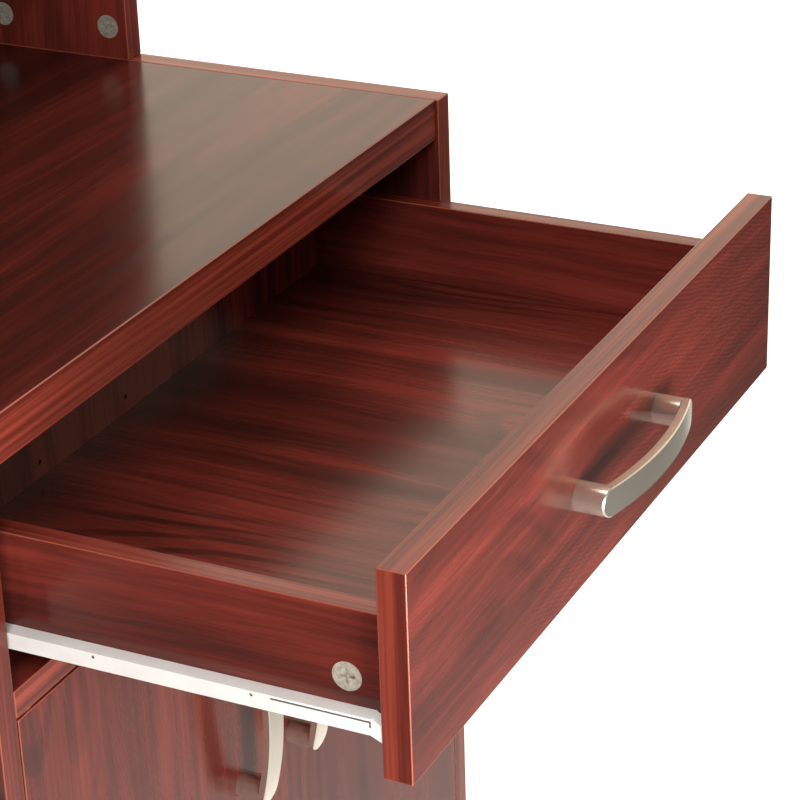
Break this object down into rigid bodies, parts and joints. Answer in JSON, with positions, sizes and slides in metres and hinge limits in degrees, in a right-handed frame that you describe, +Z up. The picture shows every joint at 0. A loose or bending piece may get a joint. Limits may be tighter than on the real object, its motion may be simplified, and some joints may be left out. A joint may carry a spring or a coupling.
{
  "type": "computer desk",
  "caption": "Red mahogany laminate computer desk with a roller drawer over a two-door cabinet, a pull-out keyboard tray in the kneehole and a hutch at the back.",
  "frame": {"origin": "on the floor under the middle of the desk's plan, measured over the end panels", "axes": "+X along the desk towards the pedestal, -Y towards the user, +Z up"},
  "size_m": [1.2, 0.7196, 1.21],
  "materials": {
    "top_laminate": "glossy red mahogany laminate, grain along the desk",
    "panel_laminate": "glossy red mahogany laminate, upright grain",
    "front_laminate": "glossy red mahogany laminate, grain across",
    "door_laminate": "glossy red mahogany laminate, upright grain",
    "box_laminate": "red mahogany laminate, grain front to back",
    "back_hardboard": "printed hardboard",
    "slide_enamel": "white epoxy enamel",
    "roller_nylon": "white nylon",
    "handle_nickel": "satin nickel",
    "zinc": "bright zinc",
    "fitting_plastic": "dark brown moulded plastic"
  },
  "bodies": {
    "desk": {"worktop": "top_laminate", "hutch_top": "top_laminate", "hutch_shelf": "top_laminate", "drawer_shelf": "top_laminate", "cabinet_bottom": "top_laminate", "cabinet_shelf": "top_laminate", "kick_plate": "top_laminate", "modesty_panel": "top_laminate", "right_side_panel": "panel_laminate", "left_side_panel": "panel_laminate", "pedestal_panel": "panel_laminate", "hutch_right_side": "panel_laminate", "hutch_left_side": "panel_laminate", "hutch_left_divider": "panel_laminate", "hutch_right_divider": "panel_laminate", "cabinet_back": "back_hardboard", "hutch_back": "back_hardboard", "drawer_rail_left": "slide_enamel", "drawer_rail_right": "slide_enamel", "tray_rail_left": "slide_enamel", "tray_rail_right": "slide_enamel", "cam_locks": "zinc", "cam_bolts": "zinc", "rail_screws": "zinc", "back_nails": "zinc", "shelf_pins": "zinc", "floor_glides": "fitting_plastic", "door_bushes": "fitting_plastic", "magnetic_catch": "fitting_plastic"},
    "drawer": {"drawer_front": "front_laminate", "drawer_left_side": "box_laminate", "drawer_right_side": "box_laminate", "drawer_back": "box_laminate", "drawer_bottom": "box_laminate", "drawer_slide_left": "slide_enamel", "drawer_slide_right": "slide_enamel", "drawer_screws": "zinc", "drawer_cams": "zinc", "drawer_cam_bolts": "zinc", "drawer_handle": "handle_nickel", "drawer_handle_screws": "zinc"},
    "tray": {"keyboard_tray": "top_laminate", "tray_back_strip": "top_laminate", "tray_slide_left": "slide_enamel", "tray_slide_right": "slide_enamel", "tray_screws": "zinc"},
    "left_door": {"left_door": "door_laminate", "left_door_handle": "handle_nickel", "left_door_handle_screws": "zinc", "left_door_pivots": "zinc", "left_door_strike": "zinc"},
    "right_door": {"right_door": "door_laminate", "right_door_handle": "handle_nickel", "right_door_handle_screws": "zinc", "right_door_pivots": "zinc", "right_door_strike": "zinc"},
    "drawer_front_rollers": {"drawer_front_rollers": "roller_nylon"},
    "drawer_rear_rollers": {"drawer_rear_rollers": "roller_nylon"},
    "tray_front_rollers": {"tray_front_rollers": "roller_nylon"},
    "tray_rear_rollers": {"tray_rear_rollers": "roller_nylon"}
  },
  "joints": [
    {"name": "drawer_slide", "type": "slide", "parent": "desk", "child": "drawer", "axis": [0, -1, 0], "range_m": [-0.211, 0.014]},
    {"name": "tray_slide", "type": "slide", "parent": "desk", "child": "tray", "axis": [0, -1, 0], "range_m": [0, 0.225]},
    {"name": "left_door_hinge", "type": "hinge", "parent": "desk", "child": "left_door", "pos_m": [0.118, -0.235, 0.5925], "axis": [0, 0, -1], "range_deg": [0, 100]},
    {"name": "right_door_hinge", "type": "hinge", "parent": "desk", "child": "right_door", "pos_m": [0.572, -0.235, 0.5925], "axis": [0, 0, 1], "range_deg": [0, 100]},
    {"name": "drawer_front_roller_spin", "type": "hinge", "parent": "desk", "child": "drawer_front_rollers", "pos_m": [0.345, -0.203, 0.62955], "axis": [1, 0, 0], "range_deg": [-1210, 82]},
    {"name": "drawer_rear_roller_spin", "type": "hinge", "parent": "drawer", "child": "drawer_rear_rollers", "pos_m": [0.345, -0.147, 0.631], "axis": [1, 0, 0], "range_deg": [-1210, 82]},
    {"name": "tray_front_roller_spin", "type": "hinge", "parent": "desk", "child": "tray_front_rollers", "pos_m": [-0.2475, -0.203, 0.63555], "axis": [1, 0, 0], "range_deg": [-1, 1291]},
    {"name": "tray_rear_roller_spin", "type": "hinge", "parent": "tray", "child": "tray_rear_rollers", "pos_m": [-0.2475, 0.064, 0.637], "axis": [1, 0, 0], "range_deg": [-1, 1291]}
  ],
  "couplings": [
    {"joint": "drawer_front_roller_spin", "follows": "drawer_slide", "rad_per_m": 100},
    {"joint": "drawer_rear_roller_spin", "follows": "drawer_slide", "rad_per_m": 100},
    {"joint": "tray_front_roller_spin", "follows": "tray_slide", "rad_per_m": 100},
    {"joint": "tray_rear_roller_spin", "follows": "tray_slide", "rad_per_m": 100}
  ]
}
